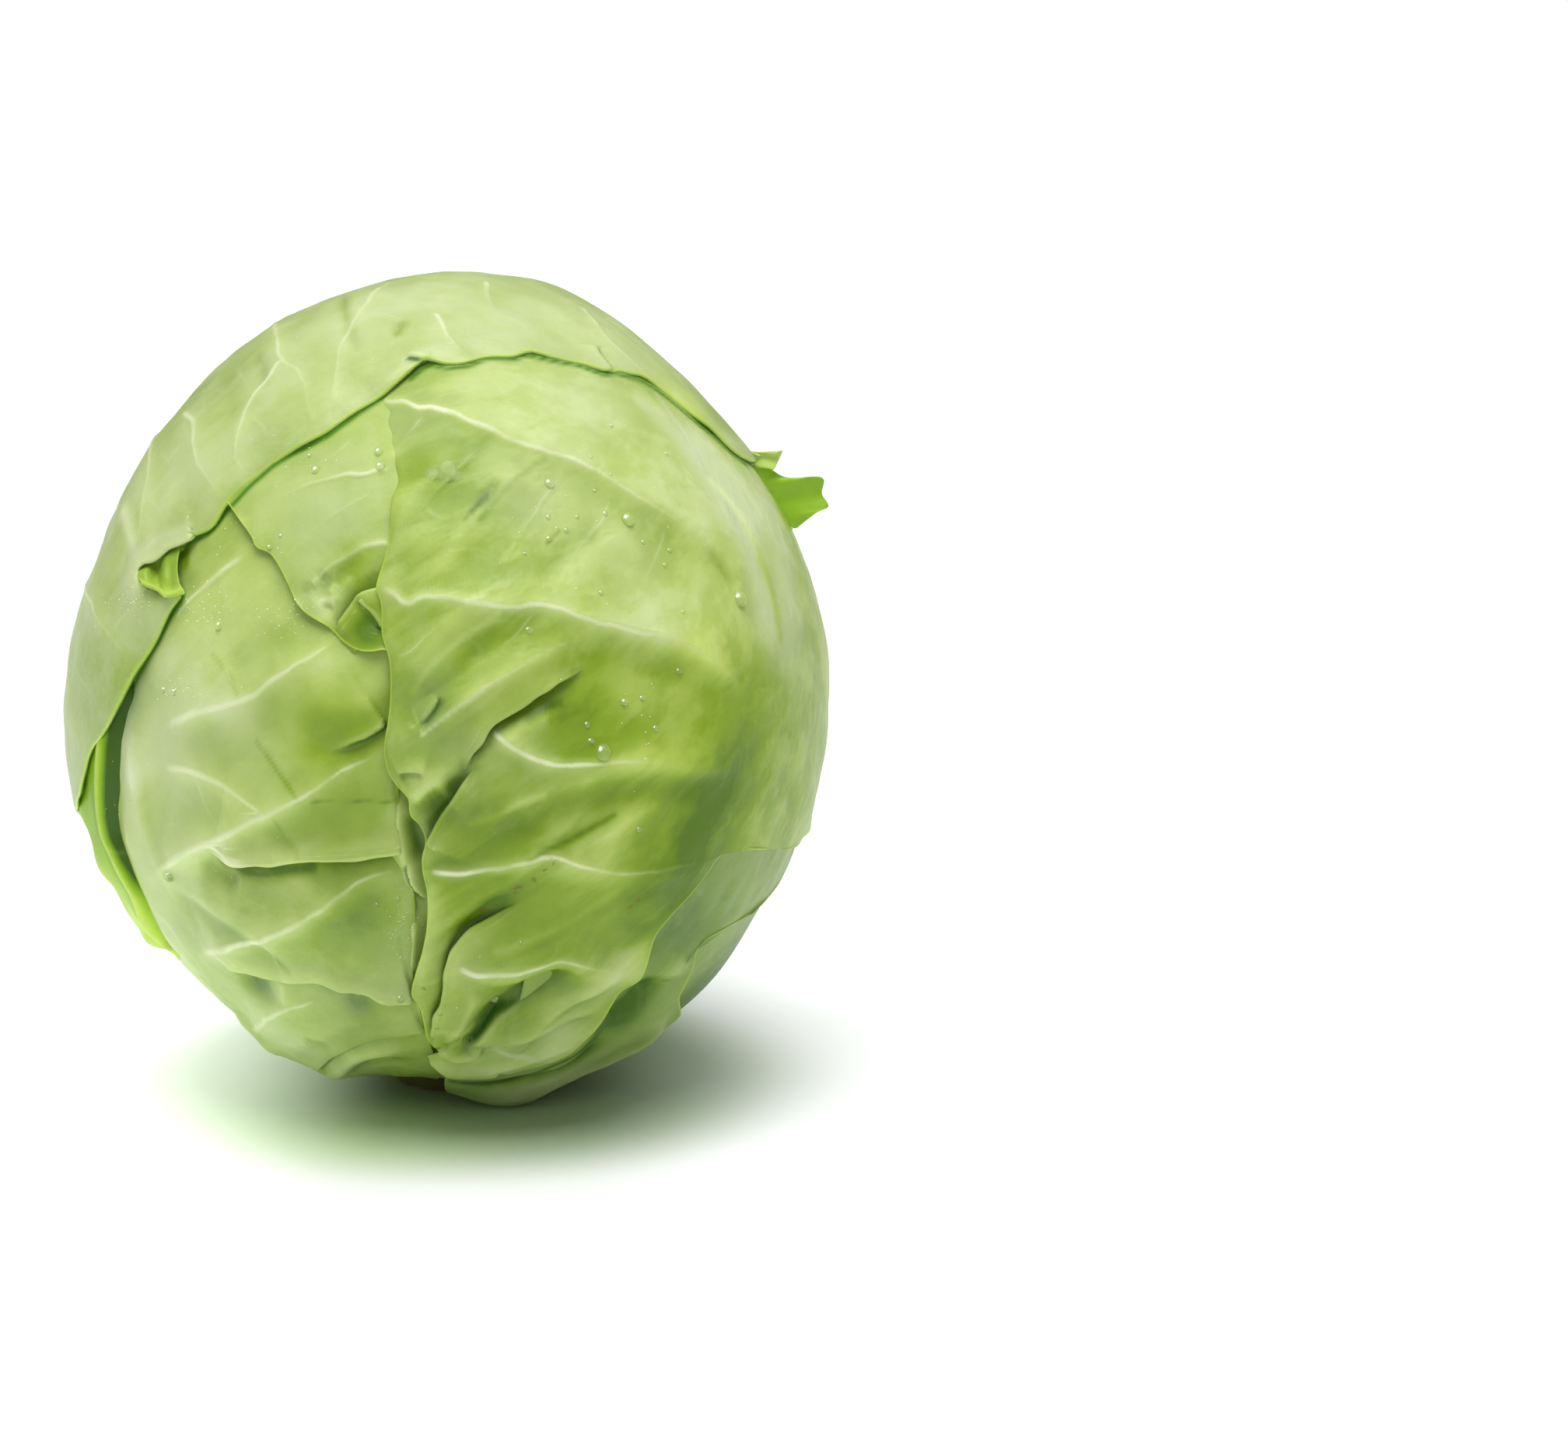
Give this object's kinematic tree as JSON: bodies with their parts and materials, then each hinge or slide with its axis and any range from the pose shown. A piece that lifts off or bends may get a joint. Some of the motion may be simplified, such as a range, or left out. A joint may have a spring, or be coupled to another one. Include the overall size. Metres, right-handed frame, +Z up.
{
  "type": "cabbage head",
  "caption": "Whole round green cabbage head standing on its cut stalk: a dense heart wrapped in broad overlapping leaves with waved margins, veins and pleats.",
  "frame": {"origin": "centre of the stalk's flat cut face, which the head stands on", "axes": "+Z up along the stalk, -Y towards the front seam of the leaves, +X to the right seen from the front"},
  "size_m": [0.1704, 0.1739, 0.1837],
  "materials": {
    "stalk_cut": "fibrous cut stalk, dried tan, matt",
    "heart_leaf": "pale yellow-green leaf, satin",
    "inner_leaf_green": "fresh green leaf, satin",
    "front_leaf_green": "yellow-green leaf with whitish veins, waxy satin",
    "under_leaf_green": "mid green leaf, waxy satin",
    "outer_leaf_green": "saturated green leaf margin, satin",
    "cap_leaf_pale": "pale green leaf with grey waxy bloom and whitish veins"
  },
  "bodies": {
    "root": {"stalk": "stalk_cut", "heart": "heart_leaf", "inner_leaf": "inner_leaf_green", "left_leaf": "front_leaf_green", "middle_leaf": "front_leaf_green", "right_leaf": "front_leaf_green", "under_leaf": "under_leaf_green", "back_leaf": "under_leaf_green", "outer_left_leaf": "outer_leaf_green", "cap_leaf": "cap_leaf_pale"}
  },
  "joints": []
}
